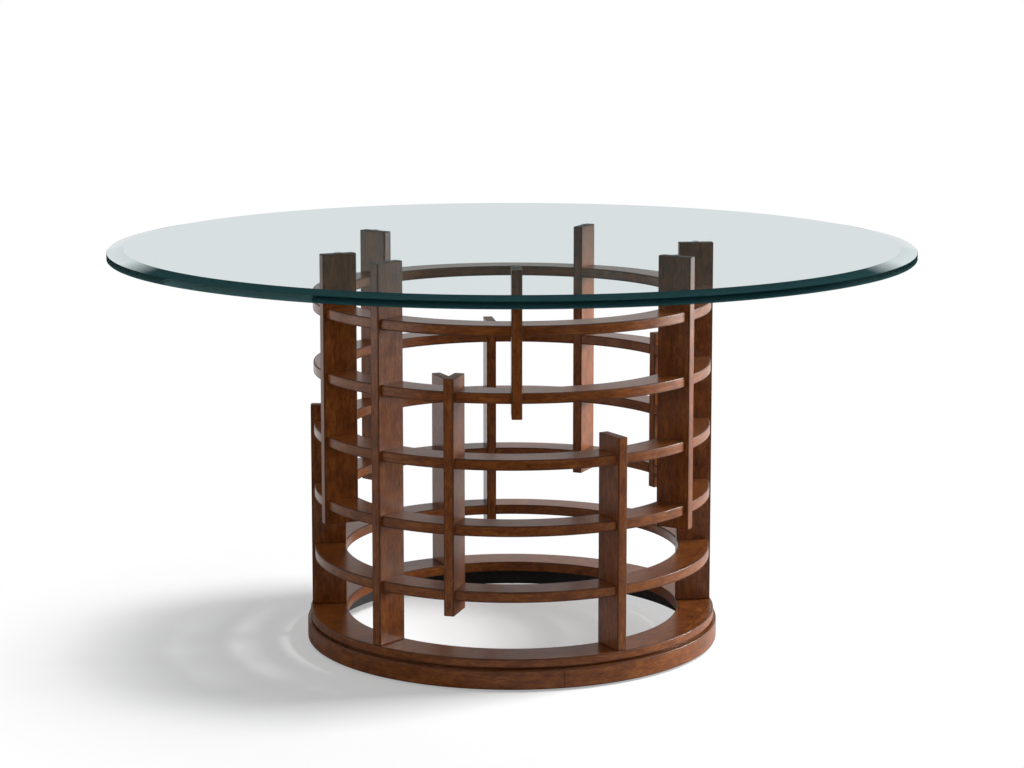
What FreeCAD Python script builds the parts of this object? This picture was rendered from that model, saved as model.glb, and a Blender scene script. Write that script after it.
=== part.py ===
import FreeCAD, Part
import math
import os
from collections import namedtuple

# A round dining table: a bevelled glass top that lies loose on a round lattice drum of stained wood.
# Sizes are in millimetres and bearings in degrees, from the front (-Y) towards the right (+X).
# The origin is on the floor under the middle of the table, and +Z is up.

# Glass top
GLASS_DIAMETER = 1524.0
GLASS_THICKNESS = 19.0
GLASS_BEVEL_WIDTH = 31.0
GLASS_BEVEL_DROP = 6.0
GLASS_LOWER_EDGE_EASE = 1.0
BUMPER_DIAMETER = 14.0
BUMPER_THICKNESS = 2.0

# Upright boards, set on edge with their narrow side outwards
DRUM_RADIUS = 386.0
POST_DEPTH = 66.0
POST_THICKNESS = 19.0
TALL_POST_RISE = 83.0
MIDDLE_POST_RISE = 24.0
LOW_POST_RISE = 31.0
POST_HANG = 27.0

# Curved flat rails between the boards, one ring of them to a level
RAIL_LEVELS = 5
RAIL_PITCH = 120.0
RAIL_THICKNESS = 19.5
RAIL_SETBACK = 7.0

# Base ring that the standing boards rest on, with a groove under its outer edge
BASE_RING_THICKNESS = 19.5
BASE_RING_OUTER_MARGIN = 3.0
BASE_RING_INNER_MARGIN = 2.0
BASE_RING_SEAM_BEARING = 58.7
GROOVE_HEIGHT = 4.0
GROOVE_DEPTH = 7.0

# Plinth under the base ring
PLINTH_HEIGHT = 35.0
PLINTH_WIDTH = 42.0
PLINTH_PROUD = 5.5
PLINTH_SEAM_BEARING = 13.7
RING_SEGMENTS = 4

# Softened edges of the wood
EDGE_EASE = 1.5

# Dowels
DOWEL_DIAMETER = 8.0
DOWEL_SPACING = 30.0
RAIL_DOWEL_REACH = 20.5
FOOT_DOWEL_REACH = 14.0
DOWEL_CLEARANCE = 0.1
DOWEL_END_ROOM = 1.0

# Loose splines across the seams of the base ring and the plinth
SPLINE_THICKNESS = 4.0
SPLINE_WIDTH = 20.0
SPLINE_REACH = 12.0
SPLINE_CLEARANCE = 0.1
SPLINE_END_ROOM = 0.5

# Screws up through the plinth into the base ring
SCREWS_PER_SEGMENT = 2
SCREW_DIAMETER = 5.0
SCREW_HEAD_DIAMETER = 9.0
SCREW_HEAD_HEIGHT = 3.5
SCREW_SINK = 1.5
SCREW_BITE = 12.0
SCREW_CLEARANCE = 0.1
SCREW_HEAD_ROOM = 0.5
SCREW_END_ROOM = 1.0

# Levellers, each a foot on a threaded stud in a sleeve
LEVELLER_COUNT = 4
LEVELLER_BEARING = 0.0
FOOT_DIAMETER = 20.0
FOOT_HEIGHT = 3.2
FOOT_EASE = 0.8
FOOT_GAP = 0.3
STUD_DIAMETER = 8.0
STUD_LENGTH = 25.0
STUD_CLEARANCE = 0.08
STUD_END_ROOM = 1.0
SLEEVE_WALL = 2.0
SLEEVE_LENGTH = 15.0
SLEEVE_CLEARANCE = 0.1

# Heights that follow, from the floor up
PLINTH_BOTTOM = FOOT_HEIGHT + FOOT_GAP
PLINTH_TOP = PLINTH_BOTTOM + PLINTH_HEIGHT
BASE_TOP = PLINTH_TOP + BASE_RING_THICKNESS
TALL_POST_TOP = BASE_TOP + RAIL_LEVELS * RAIL_PITCH + TALL_POST_RISE
GLASS_BOTTOM = TALL_POST_TOP + BUMPER_THICKNESS
TABLE_HEIGHT = GLASS_BOTTOM + GLASS_THICKNESS

# Radii that follow, from the drum's axis
POST_INNER = DRUM_RADIUS - POST_DEPTH
RAIL_OUTER = DRUM_RADIUS - RAIL_SETBACK
RAIL_INNER = POST_INNER
BASE_OUTER = DRUM_RADIUS + BASE_RING_OUTER_MARGIN
BASE_INNER = POST_INNER - BASE_RING_INNER_MARGIN
PLINTH_OUTER = BASE_OUTER + PLINTH_PROUD
PLINTH_INNER = PLINTH_OUTER - PLINTH_WIDTH
GROOVE_RADIUS = BASE_OUTER - GROOVE_DEPTH
PLINTH_MIDDLE = (PLINTH_OUTER + PLINTH_INNER) / 2
SCREW_RADIUS = (GROOVE_RADIUS + PLINTH_INNER) / 2
RAIL_MIDDLE = (RAIL_OUTER + RAIL_INNER) / 2
DOWEL_RADII = (RAIL_MIDDLE - DOWEL_SPACING / 2, RAIL_MIDDLE + DOWEL_SPACING / 2)
SEGMENT_SPAN = 360.0 / RING_SEGMENTS

# A post that stands has its foot on the base ring, one clear gap below the lowest rails.
POST_STAND = RAIL_PITCH - RAIL_THICKNESS

# Each board: the first and last rail levels it crosses, how far its foot reaches below the first
# level's rails, and how far its head rises above the last level's rails.
Post = namedtuple("Post", "name bearing first_level last_level drop rise")
POSTS = (
    Post("post_front_left_tall", -39.7, 1, RAIL_LEVELS, POST_STAND, TALL_POST_RISE),
    Post("post_left_tall", -65.5, 2, RAIL_LEVELS, POST_HANG, TALL_POST_RISE),
    Post("post_back_left_tall", -129.5, 2, RAIL_LEVELS, POST_HANG, TALL_POST_RISE),
    Post("post_back_right_tall", 155.5, 2, RAIL_LEVELS, POST_HANG, TALL_POST_RISE),
    Post("post_front_right_tall", 58.5, 2, RAIL_LEVELS, POST_HANG, TALL_POST_RISE),
    Post("post_right_tall", 95.0, 1, RAIL_LEVELS, POST_STAND, TALL_POST_RISE),
    Post("post_front_hanging", 1.3, 4, RAIL_LEVELS, POST_HANG, TALL_POST_RISE),
    Post("post_front_middle", -17.0, 1, 4, POST_HANG, MIDDLE_POST_RISE),
    Post("post_back_middle", -172.5, 1, 4, POST_HANG, MIDDLE_POST_RISE),
    Post("post_back_right_middle", 120.0, 2, 4, POST_HANG, MIDDLE_POST_RISE),
    Post("post_left_low", -90.2, 1, 3, POST_STAND, LOW_POST_RISE),
    Post("post_front_right_low", 31.0, 1, 3, POST_STAND, LOW_POST_RISE),
    Post("post_back_left_low", -156.0, 1, 3, POST_STAND, LOW_POST_RISE),
)
SIDES = ("front", "right", "back", "left")

Vector = FreeCAD.Vector
ORIGIN = Vector(0, 0, 0)
UP = Vector(0, 0, 1)
RIGHT = Vector(1, 0, 0)


def at_bearing(shape, bearing):
    """A shape that was made at the front, turned round the drum's axis to a bearing."""
    return shape.rotated(ORIGIN, UP, bearing)


def on_circle(radius, bearing, height):
    """The point at a radius, bearing and height."""
    angle = math.radians(bearing)
    return Vector(radius * math.sin(angle), -radius * math.cos(angle), height)


def upright(diameter, radius, bearing, low, high):
    """A round bar that stands at a radius and bearing, between two heights."""
    return Part.makeCylinder(diameter / 2, high - low, on_circle(radius, bearing, low), UP)


def crosswise(diameter, radius, bearing, height, start, end):
    """A round bar that lies square to the post at a bearing, from start to end on its cross axis."""
    bar = Part.makeCylinder(diameter / 2, end - start, Vector(start, -radius, height), RIGHT)
    return at_bearing(bar, bearing)


def ring_segment(profile, bearing, span):
    """A profile of (radius, height) points, turned round the axis from a bearing through a span."""
    points = [Vector(0, -radius, height) for radius, height in profile]
    face = Part.Face(Part.makePolygon(points + points[:1]))
    return at_bearing(face.revolve(ORIGIN, UP, span), bearing)


def ease_round_edges(shape, heights):
    """A ring segment with its round edges at the given heights softened."""
    edges = []
    for edge in shape.Edges:
        level = edge.Vertexes[0].Z
        if isinstance(edge.Curve, Part.Circle) and any(abs(level - height) < 0.01 for height in heights):
            edges.append(edge)
    return shape.makeFillet(EDGE_EASE, edges)


def rail_top(level):
    """The height of the upper face of a level's rails."""
    return BASE_TOP + level * RAIL_PITCH


def rail_middle(level):
    """The height of the middle of a level's rails."""
    return rail_top(level) - RAIL_THICKNESS / 2


def post_foot(post):
    """The height of a post's lower end."""
    return rail_top(post.first_level) - RAIL_THICKNESS - post.drop


def post_head(post):
    """The height of a post's upper end."""
    return rail_top(post.last_level) + post.rise


def standing_posts():
    """The posts whose feet rest on the base ring."""
    return [post for post in POSTS if post.drop == POST_STAND]


def carrying_posts():
    """The posts whose heads carry the glass."""
    return [post for post in POSTS if post.rise == TALL_POST_RISE]


def posts_at(level):
    """The posts that cross a level, in the order of their bearings."""
    crossing = [post for post in POSTS if post.first_level <= level <= post.last_level]
    return sorted(crossing, key=lambda post: post.bearing)


def side_of(bearing):
    """Which side of the drum a bearing lies on."""
    return SIDES[round((bearing % 360) / 90) % len(SIDES)]


def segment_bearings(seam):
    """The bearings at which the segments of a ring start, from that of one seam."""
    return [seam + index * SEGMENT_SPAN for index in range(RING_SEGMENTS)]


def leveller_bearings():
    """The bearings of the levellers, evenly spread."""
    return [LEVELLER_BEARING + index * 360.0 / LEVELLER_COUNT for index in range(LEVELLER_COUNT)]


def screw_bearings():
    """The bearings of the base screws, evenly spread within each plinth segment."""
    count = RING_SEGMENTS * SCREWS_PER_SEGMENT
    step = 360.0 / count
    return [PLINTH_SEAM_BEARING + (index + 0.5) * step for index in range(count)]


def glass_top():
    """The glass disc, with a wide polished bevel round its upper face."""
    radius = GLASS_DIAMETER / 2
    profile = (
        (0, GLASS_BOTTOM),
        (radius - GLASS_LOWER_EDGE_EASE, GLASS_BOTTOM),
        (radius, GLASS_BOTTOM + GLASS_LOWER_EDGE_EASE),
        (radius, TABLE_HEIGHT - GLASS_BEVEL_DROP),
        (radius - GLASS_BEVEL_WIDTH, TABLE_HEIGHT),
        (0, TABLE_HEIGHT),
    )
    return ring_segment(profile, 0, 360)


def glass_bumpers():
    """A clear disc on the head of each post that carries the glass."""
    middle = DRUM_RADIUS - POST_DEPTH / 2
    return [
        upright(BUMPER_DIAMETER, middle, post.bearing, TALL_POST_TOP, GLASS_BOTTOM)
        for post in carrying_posts()
    ]


def foot_dowel_holes(bearing):
    """The room that the dowels under a standing post take up in the post and the base ring."""
    reach = FOOT_DOWEL_REACH + DOWEL_END_ROOM
    diameter = DOWEL_DIAMETER + 2 * DOWEL_CLEARANCE
    return [upright(diameter, radius, bearing, BASE_TOP - reach, BASE_TOP + reach) for radius in DOWEL_RADII]


def upright_board(post):
    """One post: a board with softened edges, drilled where rails and foot dowels meet it."""
    foot = post_foot(post)
    corner = Vector(-POST_THICKNESS / 2, -DRUM_RADIUS, foot)
    board = Part.makeBox(POST_THICKNESS, POST_DEPTH, post_head(post) - foot, corner)
    board = at_bearing(board.makeFillet(EDGE_EASE, board.Edges), post.bearing)
    holes = []
    for level in range(post.first_level, post.last_level + 1):
        for radius in DOWEL_RADII:
            diameter = DOWEL_DIAMETER + 2 * DOWEL_CLEARANCE
            height = rail_middle(level)
            holes.append(crosswise(diameter, radius, post.bearing, height, -POST_THICKNESS, POST_THICKNESS))
    if post in standing_posts():
        holes += foot_dowel_holes(post.bearing)
    return board.cut(holes)


def beside_post(bearing, side, radius, height):
    """The point where a circle meets the left (-1) or right (+1) face of the post at a bearing."""
    half = POST_THICKNESS / 2
    point = Vector(side * half, -math.sqrt(radius ** 2 - half ** 2), height)
    return FreeCAD.Rotation(UP, bearing).multVec(point)


def curved_rail(level, start, end):
    """One rail: a flat arc that butts against the facing sides of two posts, drilled for its dowels."""
    low = rail_top(level) - RAIL_THICKNESS
    middle = (start + end) / 2
    outer = [beside_post(start, 1, RAIL_OUTER, low), beside_post(end, -1, RAIL_OUTER, low)]
    inner = [beside_post(start, 1, RAIL_INNER, low), beside_post(end, -1, RAIL_INNER, low)]
    edges = [
        Part.Arc(outer[0], on_circle(RAIL_OUTER, middle, low), outer[1]).toShape(),
        Part.LineSegment(outer[1], inner[1]).toShape(),
        Part.Arc(inner[1], on_circle(RAIL_INNER, middle, low), inner[0]).toShape(),
        Part.LineSegment(inner[0], outer[0]).toShape(),
    ]
    rail = Part.Face(Part.Wire(edges)).extrude(UP * RAIL_THICKNESS)
    rail = ease_round_edges(rail, (low, rail_top(level)))
    reach = POST_THICKNESS / 2 + RAIL_DOWEL_REACH + DOWEL_END_ROOM
    diameter = DOWEL_DIAMETER + 2 * DOWEL_CLEARANCE
    height = rail_middle(level)
    holes = [crosswise(diameter, radius, start, height, 0, reach) for radius in DOWEL_RADII]
    holes += [crosswise(diameter, radius, end, height, -reach, 0) for radius in DOWEL_RADII]
    return rail.cut(holes)


def rails_by_side(level):
    """A level's rails, gathered by the side of the drum that each one's middle lies on."""
    posts = posts_at(level)
    sides = {side: [] for side in SIDES}
    for index, post in enumerate(posts):
        start = post.bearing
        end = posts[(index + 1) % len(posts)].bearing
        if end <= start:
            end += 360
        sides[side_of((start + end) / 2)].append(curved_rail(level, start, end))
    return sides


def rail_dowels(level):
    """The dowels of a level: a pair through each post, into the rails on both sides of it."""
    reach = POST_THICKNESS / 2 + RAIL_DOWEL_REACH
    height = rail_middle(level)
    return [
        crosswise(DOWEL_DIAMETER, radius, post.bearing, height, -reach, reach)
        for post in posts_at(level)
        for radius in DOWEL_RADII
    ]


def post_foot_dowels():
    """A pair of dowels under each standing post."""
    low = BASE_TOP - FOOT_DOWEL_REACH
    high = BASE_TOP + FOOT_DOWEL_REACH
    return [
        upright(DOWEL_DIAMETER, radius, post.bearing, low, high)
        for post in standing_posts()
        for radius in DOWEL_RADII
    ]


def spline(radius, height, bearing, clearance=0.0, end_room=0.0):
    """A flat tongue that lies across the seam at a bearing, or with a clearance the slot for it."""
    length = 2 * (SPLINE_REACH + end_room)
    width = SPLINE_WIDTH + 2 * clearance
    thickness = SPLINE_THICKNESS + 2 * clearance
    corner = Vector(-length / 2, -radius - width / 2, height - thickness / 2)
    return at_bearing(Part.makeBox(length, width, thickness, corner), bearing)


def spline_slots(radius, height, bearing):
    """The slots at both ends of the ring segment that starts at a bearing."""
    seams = (bearing, bearing + SEGMENT_SPAN)
    return [spline(radius, height, seam, SPLINE_CLEARANCE, SPLINE_END_ROOM) for seam in seams]


def base_screw_holes():
    """The room that the base screws take up in the plinth and the base ring."""
    shank = SCREW_DIAMETER + 2 * SCREW_CLEARANCE
    head = SCREW_HEAD_DIAMETER + 2 * SCREW_HEAD_ROOM
    seat = PLINTH_BOTTOM + SCREW_SINK + SCREW_HEAD_HEIGHT
    tip = PLINTH_TOP + SCREW_BITE + SCREW_END_ROOM
    holes = []
    for bearing in screw_bearings():
        holes.append(upright(head, SCREW_RADIUS, bearing, PLINTH_BOTTOM, seat))
        holes.append(upright(shank, SCREW_RADIUS, bearing, PLINTH_BOTTOM, tip))
    return holes


def base_screws():
    """The screws that draw the base ring down on the plinth, with their heads sunk in its underside."""
    head_low = PLINTH_BOTTOM + SCREW_SINK
    seat = head_low + SCREW_HEAD_HEIGHT
    screws = []
    for bearing in screw_bearings():
        head = upright(SCREW_HEAD_DIAMETER, SCREW_RADIUS, bearing, head_low, seat)
        shank = upright(SCREW_DIAMETER, SCREW_RADIUS, bearing, head_low, PLINTH_TOP + SCREW_BITE)
        screws.append(head.fuse(shank).removeSplitter())
    return screws


def base_ring_middle():
    """The radius and height of the middle of the base ring's section, for its splines."""
    return (BASE_OUTER + BASE_INNER) / 2, PLINTH_TOP + BASE_RING_THICKNESS / 2


def base_ring_segment(bearing):
    """A segment of the base ring, rebated below its outer edge to leave the groove."""
    profile = (
        (BASE_INNER, PLINTH_TOP),
        (GROOVE_RADIUS, PLINTH_TOP),
        (GROOVE_RADIUS, PLINTH_TOP + GROOVE_HEIGHT),
        (BASE_OUTER, PLINTH_TOP + GROOVE_HEIGHT),
        (BASE_OUTER, BASE_TOP),
        (BASE_INNER, BASE_TOP),
    )
    segment = ease_round_edges(ring_segment(profile, bearing, SEGMENT_SPAN), (BASE_TOP,))
    holes = spline_slots(*base_ring_middle(), bearing) + base_screw_holes()
    for post in standing_posts():
        holes += foot_dowel_holes(post.bearing)
    return segment.cut(holes)


def sleeve_hole(bearing):
    """The stepped hole in the plinth for a leveller's sleeve, with room above it for the stud's end."""
    sleeve = STUD_DIAMETER + 2 * SLEEVE_WALL + 2 * SLEEVE_CLEARANCE
    relief = STUD_DIAMETER + 2 * STUD_END_ROOM
    stud_top = FOOT_HEIGHT + STUD_LENGTH + STUD_END_ROOM
    return [
        upright(sleeve, PLINTH_MIDDLE, bearing, PLINTH_BOTTOM, PLINTH_BOTTOM + SLEEVE_LENGTH),
        upright(relief, PLINTH_MIDDLE, bearing, PLINTH_BOTTOM, stud_top),
    ]


def plinth_segment(bearing):
    """A segment of the plinth, drilled from below for the screws and the levellers' sleeves."""
    profile = (
        (PLINTH_INNER, PLINTH_BOTTOM),
        (PLINTH_OUTER, PLINTH_BOTTOM),
        (PLINTH_OUTER, PLINTH_TOP),
        (PLINTH_INNER, PLINTH_TOP),
    )
    segment = ease_round_edges(ring_segment(profile, bearing, SEGMENT_SPAN), (PLINTH_BOTTOM, PLINTH_TOP))
    holes = spline_slots(PLINTH_MIDDLE, PLINTH_BOTTOM + PLINTH_HEIGHT / 2, bearing) + base_screw_holes()
    for leveller_bearing in leveller_bearings():
        holes += sleeve_hole(leveller_bearing)
    return segment.cut(holes)


def leveller_sleeves():
    """The threaded sleeves in the plinth that carry the levellers' studs."""
    sleeves = []
    for bearing in leveller_bearings():
        top = PLINTH_BOTTOM + SLEEVE_LENGTH
        wall = upright(STUD_DIAMETER + 2 * SLEEVE_WALL, PLINTH_MIDDLE, bearing, PLINTH_BOTTOM, top)
        bore = upright(STUD_DIAMETER + 2 * STUD_CLEARANCE, PLINTH_MIDDLE, bearing, PLINTH_BOTTOM, top)
        sleeves.append(wall.cut(bore))
    return sleeves


def leveller(bearing):
    """A leveller: a round foot with a softened lower edge, on a plain stud that stands for its thread."""
    foot = upright(FOOT_DIAMETER, PLINTH_MIDDLE, bearing, 0, FOOT_HEIGHT)
    lower_edge = [edge for edge in foot.Edges if edge.BoundBox.ZMax < FOOT_HEIGHT / 2]
    foot = foot.makeFillet(FOOT_EASE, lower_edge)
    stud = upright(STUD_DIAMETER, PLINTH_MIDDLE, bearing, FOOT_HEIGHT / 2, FOOT_HEIGHT + STUD_LENGTH)
    return foot.fuse(stud).removeSplitter()


def export(node, solids):
    """Write a node's solids to its own file and say how much wood, glass or metal it holds."""
    shape = solids[0] if len(solids) == 1 else Part.Compound(solids)
    shape.exportStep(f"parts/{node}.step")
    count = len(shape.Solids)
    print(f"{node}: {count} solid{'s' * (count != 1)}, {shape.Volume / 1000:.1f} cm3, valid {shape.isValid()}")


def main():
    os.makedirs("parts", exist_ok=True)
    export("glass_top", [glass_top()])
    export("glass_bumpers", glass_bumpers())
    for post in POSTS:
        export(post.name, [upright_board(post)])
    for level in range(1, RAIL_LEVELS + 1):
        for side, rails in rails_by_side(level).items():
            export(f"rails_level_{level}_{side}", rails)
        export(f"rail_dowels_level_{level}", rail_dowels(level))
    export("post_foot_dowels", post_foot_dowels())
    base_radius, base_height = base_ring_middle()
    base_seams = segment_bearings(BASE_RING_SEAM_BEARING)
    plinth_seams = segment_bearings(PLINTH_SEAM_BEARING)
    for number, bearing in enumerate(base_seams, 1):
        export(f"base_ring_segment_{number}", [base_ring_segment(bearing)])
    for number, bearing in enumerate(plinth_seams, 1):
        export(f"plinth_segment_{number}", [plinth_segment(bearing)])
    export("base_ring_splines", [spline(base_radius, base_height, bearing) for bearing in base_seams])
    plinth_height = PLINTH_BOTTOM + PLINTH_HEIGHT / 2
    export("plinth_splines", [spline(PLINTH_MIDDLE, plinth_height, bearing) for bearing in plinth_seams])
    export("base_screws", base_screws())
    export("leveller_sleeves", leveller_sleeves())
    for number, bearing in enumerate(leveller_bearings(), 1):
        export(f"leveller_{number}", [leveller(bearing)])
    print(f"table height {TABLE_HEIGHT:.1f} mm, glass diameter {GLASS_DIAMETER:.1f} mm")


main()
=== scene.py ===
"""Looks of a round dining table: a bevelled glass top on a round lattice drum of stained wood.

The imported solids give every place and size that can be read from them. Lengths are in metres and
bearings in degrees, counted from the front (-Y) towards the right (+X).
"""
import logging
import math
from dataclasses import dataclass, field
from enum import Enum

import bpy
import numpy as np
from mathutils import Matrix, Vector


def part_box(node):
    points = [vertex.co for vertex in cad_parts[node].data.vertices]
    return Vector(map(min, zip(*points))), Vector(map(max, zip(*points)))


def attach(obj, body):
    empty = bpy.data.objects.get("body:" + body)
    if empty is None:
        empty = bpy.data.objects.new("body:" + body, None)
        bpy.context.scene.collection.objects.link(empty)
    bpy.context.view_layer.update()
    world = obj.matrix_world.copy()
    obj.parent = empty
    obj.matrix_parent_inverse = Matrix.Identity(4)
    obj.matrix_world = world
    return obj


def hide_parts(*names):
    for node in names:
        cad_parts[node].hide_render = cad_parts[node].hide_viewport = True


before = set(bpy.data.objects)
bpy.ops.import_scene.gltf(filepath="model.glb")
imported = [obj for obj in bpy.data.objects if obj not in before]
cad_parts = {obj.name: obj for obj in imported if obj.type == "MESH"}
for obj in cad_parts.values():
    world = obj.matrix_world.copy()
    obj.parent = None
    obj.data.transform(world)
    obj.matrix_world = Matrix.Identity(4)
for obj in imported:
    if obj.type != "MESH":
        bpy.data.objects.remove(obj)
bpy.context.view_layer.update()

LOG = logging.getLogger("table")
MM = 0.001
SEED = 11
BASE_BODY = "lattice_base"
GLASS_BODY = "glass_top"
# How far, in metres, the grain of a board may be shifted along each axis.
GRAIN_SHIFT = 4.0
# How much of the room beside an edge its dark line may take.
GLAZE_ROOM = 0.8
WHITE = (1.0, 1.0, 1.0, 1.0)

# Settings that many nodes share, and what a node's input can be given.
MULTIPLY = {"operation": "MULTIPLY"}
MULTIPLY_ADD = {"operation": "MULTIPLY_ADD"}
MAXIMUM = {"operation": "MAXIMUM"}
COLOURS = {"data_type": "RGBA"}
SMOOTH_STEP = {"interpolation_type": "SMOOTHSTEP"}
Input = float | tuple[float, ...] | bpy.types.NodeSocket | bpy.types.Node


class Slot(Enum):
    """The record's material slots, by name; no piece made here is given one."""

    GLASS = "glass"
    BUMPER = "clear_bumper"
    WOOD = "stained_wood"
    NYLON = "black_nylon"


class Side(Enum):
    """The sides of the drum by which a level's rails are gathered, a quarter turn apart."""

    FRONT = 0
    RIGHT = 1
    BACK = 2
    LEFT = 3

    @classmethod
    def of(cls, bearing: float) -> "Side":
        """The side that a bearing lies on."""
        return cls(round((bearing % 360) / 90) % 4)


def linear(colour: str) -> tuple[float, float, float, float]:
    """Turn an sRGB hex colour into linear light.

    Args:
        colour: six hex digits after a hash.

    Returns:
        Red, green, blue and an alpha of 1.
    """
    values = np.array([int(colour[i:i + 2], 16) for i in (1, 3, 5)]) / 255
    light = np.where(values <= 0.04045, values / 12.92, ((values + 0.055) / 1.055) ** 2.4)
    return (*(float(v) for v in light), 1.0)


def add_node(tree: bpy.types.NodeTree, kind: str, settings: dict[str, str | bool] | None = None,
             stops: tuple[tuple[float, str], ...] = (), **inputs: Input) -> bpy.types.Node:
    """Add one node, set its properties and fill or link its inputs.

    Args:
        tree: the node tree to add to.
        kind: the node's type name in Blender.
        settings: properties of the node by name.
        stops: for a colour ramp, the place and sRGB hex colour of each stop, in order.
        inputs: for each input a value, an output socket, or a node for its first output. An input goes by
            its name with underscores for spaces, or by "in" and its index.

    Returns:
        The new node.
    """
    node = tree.nodes.new(kind)
    for name, value in (settings or {}).items():
        setattr(node, name, value)
    while stops and len(node.color_ramp.elements) < len(stops):
        node.color_ramp.elements.new(0.5)
    for index, (place, colour) in enumerate(stops):
        node.color_ramp.elements[index].position = place
        node.color_ramp.elements[index].color = linear(colour)
    for name, value in inputs.items():
        indexed = name.startswith("in") and name[2:].isdigit()
        socket = node.inputs[int(name[2:])] if indexed else node.inputs[name.replace("_", " ")]
        if isinstance(value, bpy.types.Node):
            tree.links.new(value.outputs[0], socket)
        elif isinstance(value, bpy.types.NodeSocket):
            tree.links.new(value, socket)
        else:
            socket.default_value = value
    return node


def new_material(name: str) -> tuple[bpy.types.Material, bpy.types.NodeTree]:
    """Make a node material that is still empty.

    Args:
        name: the finish's name.

    Returns:
        The material and its node tree.
    """
    material = bpy.data.materials.new(name)
    material.use_nodes = True
    material.node_tree.nodes.clear()
    return material, material.node_tree


@dataclass(frozen=True)
class Mark:
    """One kind of mark in wood: its size along and across the grain, its finer layers and its share."""

    length_mm: float
    width_mm: float
    detail: float
    share: float


@dataclass(frozen=True)
class StainedWood:
    """Close-grained hardwood, planed, stained brown, glazed dark in its edges and satin lacquered.

    The stain leaves soft streaks along the grain, the pores show as fine dark lines, and the glaze that
    stays in corners and along edges draws a dark, duller line there. The lacquer mirrors pale surroundings
    at a low angle, so flat tops look grey from far off. Real grain lines and pores are a few tenths of a
    millimetre wide, less than a pixel of the render, so they are drawn coarser here, as wide as they need
    to be to show. Each window is the stretch of a noise's values that is used.
    """

    name: str = "stained_hardwood_satin_lacquer"
    dark: str = "#4a260d"
    middle: str = "#743d16"
    light: str = "#935a24"
    stain_stops: tuple[float, float, float] = (0.33, 0.5, 0.7)
    streak: Mark = Mark(48.0, 7.0, 3.0, 0.34)
    line: Mark = Mark(15.0, 2.4, 2.0, 0.36)
    cloud: Mark = Mark(28.0, 28.0, 2.0, 0.3)
    pore: Mark = Mark(7.0, 2.0, 1.0, 0.6)
    fineness: float = 0.55
    pore_window: tuple[float, float] = (0.55, 0.72)
    pore_bump: float = 0.15
    pore_depth_mm: float = 0.05
    glaze: str = "#241208"
    glaze_window: tuple[float, float] = (0.3, 0.6)
    glaze_strength: tuple[float, float] = (0.33, 0.6)
    satin_window: tuple[float, float] = (0.3, 0.7)
    roughness: tuple[float, float] = (0.28, 0.38)
    edge_roughness: float = 0.3
    ior: float = 1.5
    gloss: float = 0.24
    coat: float = 0.16
    coat_roughness: float = 0.15

    def stretched(self, tree: bpy.types.NodeTree, grain: bpy.types.NodeSocket,
                  mark: Mark) -> bpy.types.NodeSocket:
        """Noise drawn out along the grain.

        Args:
            tree: the material's node tree.
            grain: the place in the board, in metres, with its first axis along the grain.
            mark: the kind of mark to draw.

        Returns:
            The noise, about 0 to 1.
        """
        length, width = (1 / (value * MM) for value in (mark.length_mm, mark.width_mm))
        scaled = add_node(tree, "ShaderNodeMapping", Vector=grain, Scale=(length, width, width))
        noise = add_node(tree, "ShaderNodeTexNoise", Vector=scaled, Scale=1.0, Detail=mark.detail,
                         Roughness=self.fineness)
        return noise.outputs["Fac"]

    def build(self) -> bpy.types.Material:
        """Make the material, which reads the attributes "grain" and "edge" of each board.

        Returns:
            The material.
        """
        material, tree = new_material(self.name)
        grain = add_node(tree, "ShaderNodeAttribute", {"attribute_name": "grain"}).outputs["Vector"]
        edge = add_node(tree, "ShaderNodeAttribute", {"attribute_name": "edge"}).outputs["Fac"]
        streak, line, pore, cloud = (
            self.stretched(tree, grain, mark) for mark in (self.streak, self.line, self.pore, self.cloud))
        lines = add_node(tree, "ShaderNodeMath", MULTIPLY, in0=line, in1=self.line.share)
        streaks = add_node(tree, "ShaderNodeMath", MULTIPLY_ADD, in0=streak, in1=self.streak.share,
                           in2=lines)
        figure = add_node(tree, "ShaderNodeMath", MULTIPLY_ADD, in0=cloud, in1=self.cloud.share,
                          in2=streaks)
        stops = tuple(zip(self.stain_stops, (self.dark, self.middle, self.light)))
        stain = add_node(tree, "ShaderNodeValToRGB", stops=stops, in0=figure)
        pores = add_node(tree, "ShaderNodeMapRange", Value=pore, From_Min=self.pore_window[0],
                         From_Max=self.pore_window[1], To_Min=0.0, To_Max=self.pore.share)
        pored = add_node(tree, "ShaderNodeMix", COLOURS, in0=pores, in6=stain, in7=linear(self.dark))
        spread = add_node(tree, "ShaderNodeMapRange", Value=cloud, From_Min=self.glaze_window[0],
                          From_Max=self.glaze_window[1], To_Min=self.glaze_strength[0],
                          To_Max=self.glaze_strength[1])
        held = add_node(tree, "ShaderNodeMath", MULTIPLY, in0=edge, in1=spread)
        glazed = add_node(tree, "ShaderNodeMix", COLOURS, in0=held, in6=pored.outputs["Result"],
                          in7=linear(self.glaze))
        satin = add_node(tree, "ShaderNodeMapRange", Value=streak, From_Min=self.satin_window[0],
                         From_Max=self.satin_window[1], To_Min=self.roughness[0], To_Max=self.roughness[1])
        dulled = add_node(tree, "ShaderNodeMath", MULTIPLY_ADD, in0=edge, in1=self.edge_roughness,
                          in2=satin)
        bump = add_node(tree, "ShaderNodeBump", {"invert": True}, Height=pores, Strength=self.pore_bump,
                        Distance=self.pore_depth_mm * MM)
        surface = add_node(tree, "ShaderNodeBsdfPrincipled", Base_Color=glazed.outputs["Result"],
                           Roughness=dulled, Normal=bump, IOR=self.ior, Specular_IOR_Level=self.gloss,
                           Coat_Weight=self.coat, Coat_Roughness=self.coat_roughness)
        add_node(tree, "ShaderNodeOutputMaterial", Surface=surface)
        return material


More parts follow.
